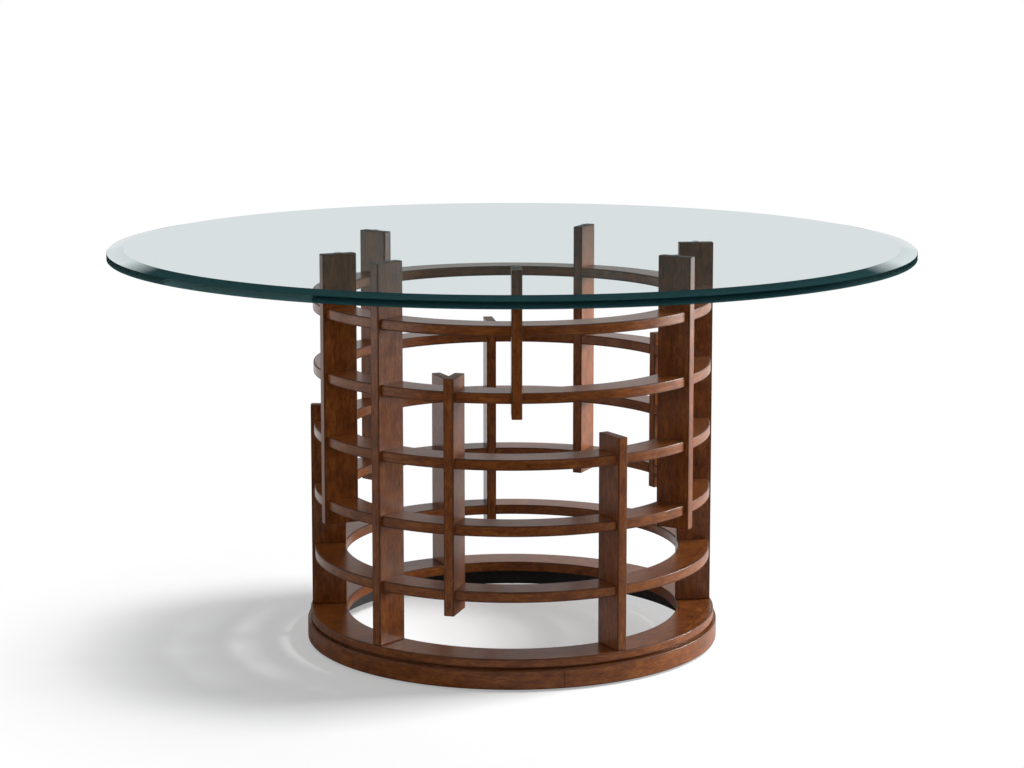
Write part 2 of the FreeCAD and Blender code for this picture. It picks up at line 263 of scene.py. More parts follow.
@dataclass(frozen=True)
class PlainSurface:
    """A plain surface with one colour that varies a little, and a fine unevenness.

    The near-black plinth inside, beech, moulded nylon, clear vinyl and zinc plate differ only in these
    values here.
    Their real grit is finer than a pixel of the render, so it is drawn as coarse as it needs to show. The
    vinyl is nearly clear and bends no light, because it is pressed between wood and glass.
    """

    name: str
    colour: str
    shade: str
    roughness: float
    grit_mm: float
    metallic: float = 0.0
    ior: float = 1.5
    alpha: float = 1.0
    detail: float = 3.0
    colour_stops: tuple[float, float] = (0.35, 0.65)
    rough_window: tuple[float, float] = (0.3, 0.7)
    rough_spread: float = 0.15
    bump: float = 0.3
    bump_mm: float = 0.05

    def build(self) -> bpy.types.Material:
        """Make the material, on Object coordinates.

        Returns:
            The material.
        """
        material, tree = new_material(self.name)
        place = add_node(tree, "ShaderNodeTexCoord").outputs["Object"]
        grit = add_node(tree, "ShaderNodeTexNoise", Vector=place, Scale=1 / (self.grit_mm * MM),
                        Detail=self.detail).outputs["Fac"]
        stops = tuple(zip(self.colour_stops, (self.shade, self.colour)))
        colour = add_node(tree, "ShaderNodeValToRGB", stops=stops, in0=grit)
        smoother, rougher = (self.roughness * (1 + sign * self.rough_spread) for sign in (-1, 1))
        rough = add_node(tree, "ShaderNodeMapRange", Value=grit, From_Min=self.rough_window[0],
                         From_Max=self.rough_window[1], To_Min=smoother, To_Max=rougher)
        bump = add_node(tree, "ShaderNodeBump", Height=grit, Strength=self.bump,
                        Distance=self.bump_mm * MM)
        surface = add_node(tree, "ShaderNodeBsdfPrincipled", Base_Color=colour, Roughness=rough,
                           Normal=bump, Metallic=self.metallic, IOR=self.ior, Alpha=self.alpha)
        add_node(tree, "ShaderNodeOutputMaterial", Surface=surface)
        return material


@dataclass(frozen=True)
class FloatGlass:
    """Clear float glass, polished: faintly green through its thickness and dark teal along its edge.

    The tint is taken up in the depth of the glass, so a short way through the sheet is nearly clear and
    the long way to the rim is dark. From outside its faces mirror little, at any angle, so what stands
    under it stays clear at a low view; what they mirror is tinted, because part of it comes back from the
    lower face. Light that meets a face from inside at too low an angle to leave would run on through the
    sheet to its far rim; it is shown as the even dark teal that is left of it there. Near the steepest
    such angle, as at the two ends of the bevel, the way is short and the glass stays pale. Lamps shine
    through it.
    """

    name: str = "clear_float_glass_polished"
    tint: str = "#84a2a7"
    density: float = 19.0
    ior: float = 1.52
    mirror: float = 0.016
    mirrored: str = "#c8fffb"
    trapped: float = 0.85
    rim: str = "#3d6467"
    pale: str = "#f2f7f7"
    pale_facing: tuple[float, float] = (0.279, 0.298)

    def build(self) -> bpy.types.Material:
        """Make the material, with its tint as absorption in the volume.

        Returns:
            The material.
        """
        material, tree = new_material(self.name)
        bent = add_node(tree, "ShaderNodeBsdfRefraction", Color=WHITE, Roughness=0.0, IOR=self.ior)
        mirror = add_node(tree, "ShaderNodeBsdfAnisotropic", Color=linear(self.mirrored), Roughness=0.0)
        face = add_node(tree, "ShaderNodeMixShader", in0=self.mirror, in1=bent, in2=mirror)
        fresnel = add_node(tree, "ShaderNodeFresnel", IOR=self.ior)
        trapped = add_node(tree, "ShaderNodeMapRange", Value=fresnel, From_Min=self.trapped, From_Max=1.0)
        # At this blend, Facing is 1 minus the cosine of the angle to the face's normal.
        facing = add_node(tree, "ShaderNodeLayerWeight", Blend=0.5).outputs["Facing"]
        steep, low = self.pale_facing
        way = add_node(tree, "ShaderNodeMapRange", Value=facing, From_Min=steep, From_Max=low)
        pale = add_node(tree, "ShaderNodeBsdfTransparent", Color=linear(self.pale))
        dark = add_node(tree, "ShaderNodeBsdfDiffuse", Color=linear(self.rim))
        rim = add_node(tree, "ShaderNodeMixShader", in0=way, in1=pale, in2=dark)
        glass = add_node(tree, "ShaderNodeMixShader", in0=trapped, in1=face, in2=rim)
        clear = add_node(tree, "ShaderNodeBsdfTransparent", Color=WHITE)
        to_lamp = add_node(tree, "ShaderNodeLightPath").outputs["Is Shadow Ray"]
        surface = add_node(tree, "ShaderNodeMixShader", in0=to_lamp, in1=glass, in2=clear)
        volume = add_node(tree, "ShaderNodeVolumeAbsorption", Color=linear(self.tint),
                          Density=self.density)
        add_node(tree, "ShaderNodeOutputMaterial", Surface=surface, Volume=volume)
        return material


@dataclass
class Shell:
    """A closed tube of rings with a flat cap at each end, as arrays.

    points has one row per station and one column per ring point; grain gives each point's place in the
    board with the grain along its first axis, and edge is 1 on an eased edge and 0 away from it.
    """

    points: np.ndarray
    grain: np.ndarray
    edge: np.ndarray

    def faces(self) -> tuple[np.ndarray, np.ndarray]:
        """Number the faces so that they point outwards.

        Returns:
            The quads round the tube, four point numbers each, and the two caps, one ring of numbers each.
        """
        stations, ring = self.points.shape[:2]
        number = np.arange(stations * ring).reshape(stations, ring)
        after = np.roll(number, -1, axis=1)
        quads = np.stack([number[:-1], after[:-1], after[1:], number[1:]], axis=-1).reshape(-1, 4)
        caps = np.stack([number[0, ::-1], number[-1]])
        if self.volume(quads, caps) < 0:
            quads, caps = quads[:, ::-1], caps[:, ::-1]
        return quads, caps

    def volume(self, quads: np.ndarray, caps: np.ndarray) -> float:
        """Signed volume: a sixth of the triple products of every triangle's corners, added up.

        Args:
            quads: the faces round the tube.
            caps: the two end rings.

        Returns:
            The volume, positive where the faces point outwards.
        """
        flat = self.points.reshape(-1, 3)
        fans = [np.stack([np.full(len(c) - 2, c[0]), c[1:-1], c[2:]], axis=-1) for c in caps]
        corners = flat[np.concatenate([quads[:, [0, 1, 2]], quads[:, [0, 2, 3]], *fans])]
        return float(np.einsum("ij,ij->", corners[:, 0], np.cross(corners[:, 1], corners[:, 2])) / 6)


def eased_outline(corners: np.ndarray, ease: float | np.ndarray, glaze: float,
                  steps: int = 4) -> tuple[np.ndarray, np.ndarray]:
    """Round the corners of a closed outline.

    Each corner becomes a parabola from one ease before it to one ease after it. A further point stands a
    glaze width from each end of the parabola, or less where the flat is short, which keeps the flats flat
    and ends the dark edge line.

    Args:
        corners: the outline's corners in order, two numbers each.
        ease: how far each corner is cut back.
        glaze: the width of the dark line beside an edge.
        steps: how many pieces a corner is drawn in.

    Returns:
        The outline's points and, for each, 1 on an edge or 0 on a flat.
    """
    ahead = np.roll(corners, -1, axis=0) - corners
    length = np.linalg.norm(ahead, axis=1, keepdims=True)
    forward = ahead / length
    backward = -np.roll(forward, 1, axis=0)
    cut = np.broadcast_to(np.asarray(ease, float).reshape(-1, 1), (len(corners), 1))
    room = np.minimum(length, np.roll(length, 1, axis=0)) / 2 - cut
    beside = np.minimum(glaze, GLAZE_ROOM * room)
    t = np.linspace(0, 1, steps + 1)[None, :, None]
    first = (corners + backward * cut)[:, None]
    last = (corners + forward * cut)[:, None]
    arcs = (1 - t) ** 2 * first + 2 * t * (1 - t) * corners[:, None] + t ** 2 * last
    before = first + (backward * beside)[:, None]
    beyond = last + (forward * beside)[:, None]
    points = np.concatenate([before, arcs, beyond], axis=1)
    edge = np.ones(points.shape[:2])
    edge[:, [0, -1]] = 0
    return points.reshape(-1, 2), edge.reshape(-1)


def rectangle(low: tuple[float, float], high: tuple[float, float]) -> np.ndarray:
    """The four corners of a rectangle, in order round it."""
    return np.array([low, (high[0], low[1]), high, (low[0], high[1])], float)


def inset(outline: np.ndarray, depth: np.ndarray) -> np.ndarray:
    """Move a closed outline inwards, each point square to the line between its two neighbours.

    Args:
        outline: the outline's points, counter-clockwise.
        depth: how far to move it, one value per copy.

    Returns:
        One copy of the outline per value of depth.
    """
    along = np.roll(outline, -1, axis=0) - np.roll(outline, 1, axis=0)
    along /= np.linalg.norm(along, axis=1, keepdims=True)
    inward = np.stack([-along[:, 1], along[:, 0]], axis=-1)
    return outline[None] + inward[None] * depth[:, None, None]


def turned(points: np.ndarray, bearing: float) -> np.ndarray:
    """Turn points that were made at the front round the drum's axis, by a turn of x and y.

    Args:
        points: the points.
        bearing: the bearing to turn them to.

    Returns:
        The turned points.
    """
    angle = math.radians(bearing)
    cos, sin = math.cos(angle), math.sin(angle)
    x, y, z = np.moveaxis(points, -1, 0)
    return np.stack([x * cos - y * sin, x * sin + y * cos, z], axis=-1)


def around(radius: np.ndarray, bearing: np.ndarray, height: np.ndarray) -> np.ndarray:
    """Points at a radius, bearing and height: x is radius times sine, y minus radius times cosine."""
    return np.stack([radius * np.sin(bearing), -radius * np.cos(bearing), height + 0 * bearing], axis=-1)


def lathe(profile: np.ndarray, centre: tuple[float, float], segments: int) -> Shell:
    """Turn a profile of (radius, height) points, from the lower cap to the upper one, round an axis.

    Args:
        profile: the points, none of them on the axis.
        centre: where the upright axis stands.
        segments: how many points go round.

    Returns:
        The turned shell.
    """
    turn = np.linspace(0, 2 * math.pi, segments, endpoint=False)[None]
    points = around(profile[:, :1], turn, profile[:, 1:])
    points = points + np.array([*centre, 0.0])
    return Shell(points, points.copy(), np.zeros(points.shape[:2]))


def grain_shift(draws: np.random.Generator) -> np.ndarray:
    """A seeded shift of the grain, so that no two boards share a figure."""
    return draws.uniform(-GRAIN_SHIFT, GRAIN_SHIFT, 3)


def make_piece(name: str, shells: list[Shell], materials: list[bpy.types.Material], body: str,
               nodes: list[str], second: np.ndarray | None = None,
               sharp: float = 35.0) -> bpy.types.Object:
    """Put shells into one mesh object that rides on a body and stands for CAD nodes.

    Args:
        name: the piece's name.
        shells: the closed shells it is made of.
        materials: its finishes.
        body: the body that it moves with.
        nodes: the CAD nodes that it replaces.
        second: for each face, true where it has the second finish.
        sharp: the angle, in degrees, from which an edge shows as an edge.

    Returns:
        The new object, at the origin.
    """
    points, grain, edge, faces, smooth = [], [], [], [], []
    start = 0
    for shell in shells:
        quads, caps = shell.faces()
        faces += (quads + start).tolist() + (caps + start).tolist()
        smooth += [True] * len(quads) + [False] * len(caps)
        points.append(shell.points.reshape(-1, 3))
        grain.append(shell.grain.reshape(-1, 3))
        edge.append(shell.edge.reshape(-1))
        start += len(points[-1])
    mesh = bpy.data.meshes.new(name)
    mesh.from_pydata(np.concatenate(points), [], faces)
    places = mesh.attributes.new("grain", "FLOAT_VECTOR", "POINT")
    places.data.foreach_set("vector", np.concatenate(grain).ravel())
    glazes = mesh.attributes.new("edge", "FLOAT", "POINT")
    glazes.data.foreach_set("value", np.concatenate(edge))
    mesh.set_sharp_from_angle(angle=math.radians(sharp))
    mesh.polygons.foreach_set("use_smooth", np.array(smooth))
    for material in materials:
        mesh.materials.append(material)
    if second is not None:
        mesh.polygons.foreach_set("material_index", second.astype(np.int32))
    mesh.update()
    piece = bpy.data.objects.new(name, mesh)
    bpy.context.scene.collection.objects.link(piece)
    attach(piece, body)
    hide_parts(*nodes)
    LOG.info("%s: %d points, %d faces", name, len(mesh.vertices), len(mesh.polygons))
    return piece


@dataclass
class GlassTop:
    """The loose glass disc and the clear bumpers under it."""

    bevel_width: float = 31 * MM
    bevel_drop: float = 6 * MM
    lower_ease: float = 1.0 * MM
    arris: float = 0.5 * MM
    segments: int = 360
    # The bevel leaves the upper face at 11 degrees and still has to show as an edge.
    sharp: float = 8.0
    bumper_radius: float = 7 * MM
    bumper_ease: float = 0.5 * MM
    bumper_segments: int = 40
    finish: FloatGlass = FloatGlass()
    # Clear moulded vinyl: hardly seen, a faint pale spot on the head of a post.
    bumper_finish: PlainSurface = PlainSurface(
        "clear_vinyl_moulded", "#cfd6d4", "#c4cdcb", 0.25, 6.0, alpha=0.12)

    def profile(self, low: float, high: float, radius: float) -> np.ndarray:
        """The rim's section, from the underside over the edge and the bevel to the upper face.

        Args:
            low: height of the underside.
            high: height of the upper face.
            radius: radius of the disc.

        Returns:
            Radius and height of each point.
        """
        slope = self.bevel_drop / self.bevel_width
        return np.array([
            (radius - self.lower_ease, low),
            (radius, low + self.lower_ease),
            (radius, high - self.bevel_drop - self.arris),
            (radius - self.arris, high - self.bevel_drop + self.arris * slope),
            (radius - self.bevel_width, high),
        ])

    def build(self) -> bpy.types.Object:
        """Make the disc.

        Returns:
            The disc.
        """
        low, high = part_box("glass_top")
        shell = lathe(self.profile(low[2], high[2], high[1]), (0.0, 0.0), self.segments)
        return make_piece("glass_disc", [shell], [self.finish.build()], GLASS_BODY,
                          ["glass_top"], sharp=self.sharp)

    def build_bumpers(self, posts: list["Post"]) -> None:
        """Make a clear disc with rounded rims on the head of each post that carries the glass.

        Args:
            posts: all the posts.
        """
        low, high = (corner[2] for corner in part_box("glass_bumpers"))
        radius, ease = self.bumper_radius, self.bumper_ease
        profile = np.array([
            (radius - ease, low), (radius, low + ease), (radius, high - ease), (radius - ease, high)])
        shells = [
            lathe(profile, post.centre, self.bumper_segments)
            for post in posts if abs(post.head - low) < MM
        ]
        make_piece("clear_bumpers", shells, [self.bumper_finish.build()], BASE_BODY,
                   ["glass_bumpers"])


@dataclass(frozen=True)
class Post:
    """One upright board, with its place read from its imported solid."""

    name: str
    bearing: float
    centre: tuple[float, float]
    foot: float
    head: float

    @classmethod
    def read(cls, node: str) -> "Post":
        """Read a post from its node: a turned board's box has its middle on the board's own.

        Args:
            node: the node's name.

        Returns:
            The post.
        """
        low, high = (np.array(corner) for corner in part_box(node))
        x, y, _ = (low + high) / 2
        bearing = math.degrees(math.atan2(x, -y))
        return cls(node, bearing, (float(x), float(y)), float(low[2]), float(high[2]))

    @property
    def radius(self) -> float:
        """How far the board's middle stands from the drum's axis."""
        return math.hypot(*self.centre)


@dataclass
class Lattice:
    """The drum's upright boards and the curved rails between them."""

    thickness: float = 19 * MM
    depth: float = 66 * MM
    setback: float = 7 * MM
    ease: float = 2.0 * MM
    end_ease: float = 1.2 * MM
    end_points: int = 4
    glaze: float = 1.2 * MM
    levels: int = 5
    rail_step: float = 1.5
    rail_points: int = 4
    draws: np.random.Generator = field(default_factory=lambda: np.random.default_rng(SEED))
    posts: list[Post] = field(default_factory=list)

    def __post_init__(self) -> None:
        """Read the posts from the imported solids."""
        names = [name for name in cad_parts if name.startswith("post_") and "dowels" not in name]
        self.posts = [Post.read(name) for name in sorted(names)]

    def board(self, post: Post) -> Shell:
        """One post: an eased rectangle carried upwards and drawn in by a quarter round at both ends.

        Args:
            post: where it stands.

        Returns:
            Its shell.
        """
        half = self.thickness / 2
        outer = post.radius + self.depth / 2
        corners = rectangle((-half, -outer), (half, self.depth - outer))
        outline, edge = eased_outline(corners, self.ease, self.glaze)
        quarter = np.linspace(0, math.pi / 2, self.end_points)[::-1]
        rise = self.end_ease * (1 - np.sin(quarter))
        draw = self.end_ease * (1 - np.cos(quarter))
        middle = np.array([self.end_ease + self.glaze, (post.head - post.foot) / 2])
        low = np.concatenate([rise, middle])
        height = np.concatenate([post.foot + low, post.head - low[-2::-1]])
        flat = np.zeros(len(height) - 2 * len(draw))
        rings = inset(outline, np.concatenate([draw, flat, draw[::-1]]))
        heights = np.broadcast_to(height[:, None, None], (*rings.shape[:2], 1))
        points = np.concatenate([rings, heights], axis=-1)
        ends = np.ones(len(draw))
        near_end = np.concatenate([ends, flat, ends])
        grain = points[..., [2, 1, 0]] + grain_shift(self.draws)
        return Shell(turned(points, post.bearing), grain, np.maximum(near_end[:, None], edge[None]))

    def rail(self, start: Post, end_bearing: float, low: float, high: float) -> Shell:
        """One rail: an eased rectangle carried round from one post's side to the next one's.

        At a radius r a post's side lies at its bearing plus the angle whose sine is half the post's
        thickness over r, so the two ends are square to the posts and not to the arc.

        Args:
            start: the post at its left end.
            end_bearing: the bearing of the post at its right end.
            low: height of the underside.
            high: height of the upper face.

        Returns:
            Its shell.
        """
        inner = start.radius - self.depth / 2
        outer = start.radius + self.depth / 2 - self.setback
        outline, edge = eased_outline(rectangle((inner, low), (outer, high)), self.ease, self.glaze)
        span = end_bearing - start.bearing
        count = max(self.rail_points, int(span / self.rail_step))
        margin = self.glaze / (math.radians(span) * inner)
        share = np.concatenate([[0], np.linspace(margin, 1 - margin, count), [1]])
        radius, height = outline[:, 0][None], outline[:, 1][None]
        lean = np.arcsin(self.thickness / 2 / radius)
        first = math.radians(start.bearing) + lean
        last = math.radians(end_bearing) - lean
        bearing = first + share[:, None] * (last - first)
        points = around(radius, bearing, height)
        along = (bearing - math.radians(start.bearing)) * (inner + outer) / 2
        grain = np.stack(np.broadcast_arrays(along, radius, height), axis=-1) + grain_shift(self.draws)
        near_end = np.isin(share, (0.0, 1.0)).astype(float)
        return Shell(points, grain, np.maximum(near_end[:, None], edge[None]))

    def build(self, wood: bpy.types.Material) -> None:
        """Make the posts and, level by level, the rails.

        Args:
            wood: the finish.
        """
        for post in self.posts:
            name = post.name.replace("post_", "board_", 1)
            make_piece(name, [self.board(post)], [wood], BASE_BODY, [post.name])
        for level in range(1, self.levels + 1):
            low, high = (corner[2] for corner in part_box(f"rails_level_{level}_front"))
            crossing = [post for post in self.posts if post.foot < low and post.head > high]
            crossing.sort(key=lambda post: post.bearing)
            sides: dict[Side, list[Shell]] = {side: [] for side in Side}
            for post, after in zip(crossing, crossing[1:] + crossing[:1]):
                end = after.bearing + 360 * (after.bearing <= post.bearing)
                sides[Side.of((post.bearing + end) / 2)].append(self.rail(post, end, low, high))
            for side, rails in sides.items():
                word = side.name.lower()
                make_piece(f"curved_rails_{level}_{word}", rails, [wood], BASE_BODY,
                           [f"rails_level_{level}_{word}"])


@dataclass
class RingBase:
    """The base ring that the boards stand on, and the plinth under it."""

    inner: float = 318 * MM
    groove_height: float = 4 * MM
    groove_depth: float = 7 * MM
    plinth_width: float = 42 * MM
    base_seam: float = 58.7
    plinth_seam: float = 13.7
    segments: int = 4
    step: float = 1.5
    ease: float = 2.0 * MM
    inner_ease: float = 0.5 * MM
    groove_ease: float = 0.2 * MM
    lip_ease: float = 1.0 * MM
    sole_ease: float = 1.5 * MM
    seam_ease: float = 0.5 * MM
    seam_margin: float = 0.1 * MM
    glaze: float = 1.2 * MM
    # How far the black reaches from the inner wall and from the underside.
    wall_depth: float = 1.0 * MM
    sole_height: float = 0.2 * MM
    # Near black, on the plinth's recessed inner wall and its underside: what shows of the plinth's inside
    # reads as a dark gap.
    inside: PlainSurface = PlainSurface("raw_wood_sealed_black", "#17110d", "#0d0a08", 0.7, 9.0)
    draws: np.random.Generator = field(default_factory=lambda: np.random.default_rng(SEED + 1))

    def sector(self, corners: np.ndarray, ease: np.ndarray, seam: float, seam_ease: float) -> Shell:
        """Carry an eased section round one segment, drawn in by the seam's ease at both ends.

        Args:
            corners: the section's corners, as radius and height.
            ease: how far each corner is rounded.
            seam: the bearing where the segment starts.
            seam_ease: how far the ends are drawn in, for a fine open joint.

        Returns:
            Its shell.
        """
        outline, edge = eased_outline(corners, ease, self.glaze)
        span = math.radians(360 / self.segments)
        radius = corners[:, 0].mean()
        margin = np.array([0, max(seam_ease, self.seam_margin), self.glaze]) / radius
        count = int(360 / self.segments / self.step)
        middle = np.linspace(self.glaze / radius, span - self.glaze / radius, count)[1:-1]
        bearing = np.concatenate([margin, middle, span - margin[::-1]])
        depth = np.zeros(len(bearing))
        depth[[0, -1]] = seam_ease
        rings = inset(outline, depth)
        points = around(rings[..., 0], math.radians(seam) + bearing[:, None], rings[..., 1])
        along = np.broadcast_to((bearing * radius)[:, None, None], (*rings.shape[:2], 1))
        grain = np.concatenate([along, rings], axis=-1) + grain_shift(self.draws)
        near_seam = np.zeros(len(bearing))
        near_seam[[0, 1, -2, -1]] = float(seam_ease > 0)
        return Shell(points, grain, np.maximum(near_seam[:, None], edge[None]))

    def build(self, wood: bpy.types.Material) -> None:
        """Make the segments of the base ring and the plinth.

        Args:
            wood: the finish of what shows.
        """
        black = self.inside.build()
        for number in range(1, self.segments + 1):
            self.build_base_segment(number, wood)
            self.build_plinth_segment(number, wood, black)

    def start(self, seam: float, number: int) -> float:
        """The bearing where a segment starts, from that of the first one."""
        return seam + (number - 1) * 360 / self.segments

    def reach(self, kind: str) -> float:
        """The outer radius of a ring: the farthest that any of its segments reaches along X or Y."""
        boxes = [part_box(f"{kind}_segment_{number}") for number in range(1, self.segments + 1)]
        return float(max(np.abs(np.array(corner[:2])).max() for box in boxes for corner in box))

    def build_base_segment(self, number: int, wood: bpy.types.Material) -> None:
        """Make a segment of the base ring, rebated below its outer edge.

        Args:
            number: which segment.
            wood: its finish.
        """
        node = f"base_ring_segment_{number}"
        low, high = (corner[2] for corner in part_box(node))
        outer = self.reach("base_ring")
        groove = outer - self.groove_depth
        corners = np.array([
            (self.inner, low), (groove, low), (groove, low + self.groove_height),
            (outer, low + self.groove_height), (outer, high), (self.inner, high)])
        ease = np.array([
            self.inner_ease, self.groove_ease, self.groove_ease, self.lip_ease, self.ease, self.ease])
        shell = self.sector(corners, ease, self.start(self.base_seam, number), 0.0)
        make_piece(f"base_ring_{number}", [shell], [wood], BASE_BODY, [node])

    def build_plinth_segment(self, number: int, wood: bpy.types.Material,
                             black: bpy.types.Material) -> None:
        """Make a segment of the plinth, with black on its inner wall and underside.

        Args:
            number: which segment.
            wood: the finish of its outer face.
            black: the finish inside and below.
        """
        node = f"plinth_segment_{number}"
        low, high = (corner[2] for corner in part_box(node))
        outer = self.reach("plinth")
        wall = outer - self.plinth_width
        corners = rectangle((wall, low), (outer, high))
        ease = np.array([self.inner_ease, self.sole_ease, self.ease, self.inner_ease])
        shell = self.sector(corners, ease, self.start(self.plinth_seam, number), self.seam_ease)
        quads, caps = shell.faces()
        middles = shell.points.reshape(-1, 3)[quads].mean(axis=1)
        inside = np.hypot(middles[:, 0], middles[:, 1]) < wall + self.wall_depth
        below = middles[:, 2] < low + self.sole_height
        hidden = np.concatenate([inside | below, np.zeros(len(caps), bool)])
        make_piece(f"plinth_{number}", [shell], [wood, black], BASE_BODY, [node], hidden)


@dataclass
class Levellers:
    """The feet under the plinth, each turned as one piece: a foot with a rolled rim, a collar and a stud.

    Points are radius and height in mm. The rim's radius is counted from that of the foot, and the stud's
    height from its own top.
    """

    rim_mm: tuple[tuple[float, float], ...] = (
        (-1.2, 0.0), (-0.4, 0.3), (0.0, 1.0), (0.0, 2.4), (-0.5, 3.0), (-1.2, 3.2))
    collar_mm: tuple[tuple[float, float], ...] = ((4.6, 3.2), (4.0, 3.6))
    stud_mm: tuple[tuple[float, float], ...] = ((4.0, -0.8), (3.4, 0.0))
    segments: int = 48
    # Moulded nylon: black with a dull sheen.
    finish: PlainSurface = PlainSurface("black_nylon_moulded", "#161616", "#0c0c0c", 0.45, 2.0)

    def build(self) -> None:
        """Make each leveller, on a body of its own."""
        finish = self.finish.build()
        names = [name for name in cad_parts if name.startswith("leveller_") and name[-1].isdigit()]
        for node in sorted(names):
            low, high = (np.array(corner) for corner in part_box(node))
            centre = tuple(((low + high) / 2)[:2])
            foot = (high[0] - low[0]) / 2
            profile = np.concatenate([
                np.array(self.rim_mm) * MM + (foot, 0.0),
                np.array(self.collar_mm) * MM,
                np.array(self.stud_mm) * MM + (0.0, high[2]),
            ])
            shell = lathe(profile, centre, self.segments)
            make_piece(f"levelling_foot_{node[-1]}", [shell], [finish], node, [node])


def dress_hidden_nodes() -> None:
    """Give the dowels, splines, screws and sleeves inside the wood their own finishes."""
    # Unfinished beech, pale and dry, and zinc plate, a bright grey metal with a soft mirror.
    beech = PlainSurface("beech_unfinished", "#c49a6c", "#ad8152", 0.6, 5.0).build()
    zinc = PlainSurface("zinc_plated_steel", "#b9b9b4", "#9c9c98", 0.32, 3.0, metallic=1.0).build()
    for name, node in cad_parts.items():
        wooden = "dowels" in name or "splines" in name
        if wooden or name in ("base_screws", "leveller_sleeves"):
            node.data.materials.clear()
            node.data.materials.append(beech if wooden else zinc)


class LightLink(Enum):
    """What a lamp does with one object, or with its shade: keep to it alone, or leave it out."""

    ALONE = "INCLUDE"
    LEFT_OUT = "EXCLUDE"


@dataclass(frozen=True)
class Softbox:
    """An oblong lamp that stands at a bearing round the table and is aimed at the middle of the drum."""

    name: str
    power: float
    size: tuple[float, float]
    bearing: float
    distance: float
    height: float

    def place(self) -> tuple[float, float, float]:
        """Where its middle is."""
        angle = math.radians(self.bearing)
        return self.distance * math.sin(angle), -self.distance * math.cos(angle), self.height


@dataclass
class Studio:
    """A white sweep with soft lamps round the table, mostly from the right, and a dim room in front.

    What the camera sees past the table is white. In the table's gloss the sweep is white behind it, and
    falls off upwards and towards the front, where its paper ends; as light it is dim. A small high lamp on
    the right lights the paper alone, so that the table's shadow falls on it to the left.
    """

    camera_distance: float = 4.626
    camera_height: float = 1.307
    camera_pitch: float = 7.65
    focal_pixels: float = 2449.0
    picture_width: float = 1024.0
    sensor_mm: float = 36.0
    shift_up: float = -0.10
    # The sweep's strength as light, and the share of its light and gloss that is left at the front.
    sky: float = 0.12
    dim: float = 0.1
    # Heights of a direction between which the white in gloss falls off, and what is left of it.
    dusk: tuple[float, float, float] = (0.17, 0.28, 0.4)
    paper_lamp: Softbox = Softbox("paper_lamp", 245.0, (1.2, 1.2), 103.0, 2.45, 4.3)
    # The main light on the right, a long low one on the left and two faint ones for the front.
    softboxes: tuple[Softbox, ...] = (
        Softbox("right_softbox", 220.0, (1.4, 1.0), 105.0, 3.3, 1.0),
        Softbox("left_softbox", 19.0, (3.2, 0.8), -75.0, 3.3, 0.45),
        Softbox("front_right_softbox", 17.0, (1.4, 0.8), 32.0, 3.3, 1.25),
        Softbox("front_left_softbox", 11.0, (1.4, 0.8), -32.0, 3.3, 1.25),
    )
    aim_height: float = 0.4
    # Steps from front to back: of a direction to the sweep, of the white floor in gloss, of the paper.
    sweep_reach: tuple[float, float] = (-0.4, 0.5)
    gloss_reach: tuple[float, float] = (-0.5, 2.0)
    paper_end: tuple[float, float] = (-1.5, -0.9)
    front_colour: str = "#3c3c3c"
    floor_colour: str = "#d2d2d2"
    floor_lift: float = 0.37
    floor_size: float = 60.0
    # The floor keeps its shade near this point, and runs out into white between the two distances.
    shade_centre: tuple[float, float, float] = (-0.2, -0.1, 0.0)
    shade_reach: tuple[float, float] = (0.35, 0.95)

    def build(self, glass: bpy.types.Object) -> None:
        """Make the world, floor, lamps and camera.

        Args:
            glass: the glass top, which leaves no shade on the paper.
        """
        bpy.context.scene.view_settings.view_transform = "Standard"
        self.build_world()
        floor = self.build_floor()
        lamp = self.build_lamp(self.paper_lamp, floor, LightLink.ALONE)
        shadeless = self.linked("paper_lamp_blockers", glass, LightLink.LEFT_OUT)
        lamp.light_linking.blocker_collection = shadeless
        for box in self.softboxes:
            self.build_lamp(box, floor, LightLink.LEFT_OUT)
        self.build_camera()

    @staticmethod
    def seen(tree: bpy.types.NodeTree, path: bpy.types.Node) -> bpy.types.Node:
        """1 for rays that show the sweep straight or through glass, else 0."""
        return add_node(tree, "ShaderNodeMath", MAXIMUM, in0=path.outputs["Is Camera Ray"],
                        in1=path.outputs["Is Transmission Ray"])

    @staticmethod
    def behind(tree: bpy.types.NodeTree, place: bpy.types.NodeSocket,
               span: tuple[float, float]) -> bpy.types.Node:
        """A smooth step along Y of a point or direction, from 0 at the span's front to 1 at its back."""
        axes = add_node(tree, "ShaderNodeSeparateXYZ", in0=place)
        return add_node(tree, "ShaderNodeMapRange", SMOOTH_STEP, Value=axes.outputs["Y"],
                        From_Min=span[0], From_Max=span[1])

    def build_world(self) -> None:
        """White where it is seen. As light it is dim, in gloss white low down; both fade to the front."""
        world = bpy.data.worlds.new("white_sweep")
        bpy.context.scene.world = world
        world.use_nodes = True
        tree = world.node_tree
        tree.nodes.clear()
        path = add_node(tree, "ShaderNodeLightPath")
        direction = add_node(tree, "ShaderNodeTexCoord").outputs["Generated"]
        back = self.behind(tree, direction, self.sweep_reach)
        room = add_node(tree, "ShaderNodeMapRange", Value=back, To_Min=self.dim, To_Max=1.0)
        height = add_node(tree, "ShaderNodeSeparateXYZ", in0=direction).outputs["Z"]
        start, end, left = self.dusk
        mirrored = add_node(tree, "ShaderNodeMapRange", Value=height, From_Min=start, From_Max=end,
                            To_Min=1.0, To_Max=left)
        level = add_node(tree, "ShaderNodeMapRange", Value=path.outputs["Is Glossy Ray"],
                         To_Min=self.sky, To_Max=mirrored)
        lit = add_node(tree, "ShaderNodeMath", MULTIPLY, in0=room, in1=level)
        strength = add_node(tree, "ShaderNodeMath", MAXIMUM, in0=lit, in1=self.seen(tree, path))
        light = add_node(tree, "ShaderNodeBackground", Color=WHITE, Strength=strength)
        add_node(tree, "ShaderNodeOutputWorld", Surface=light)

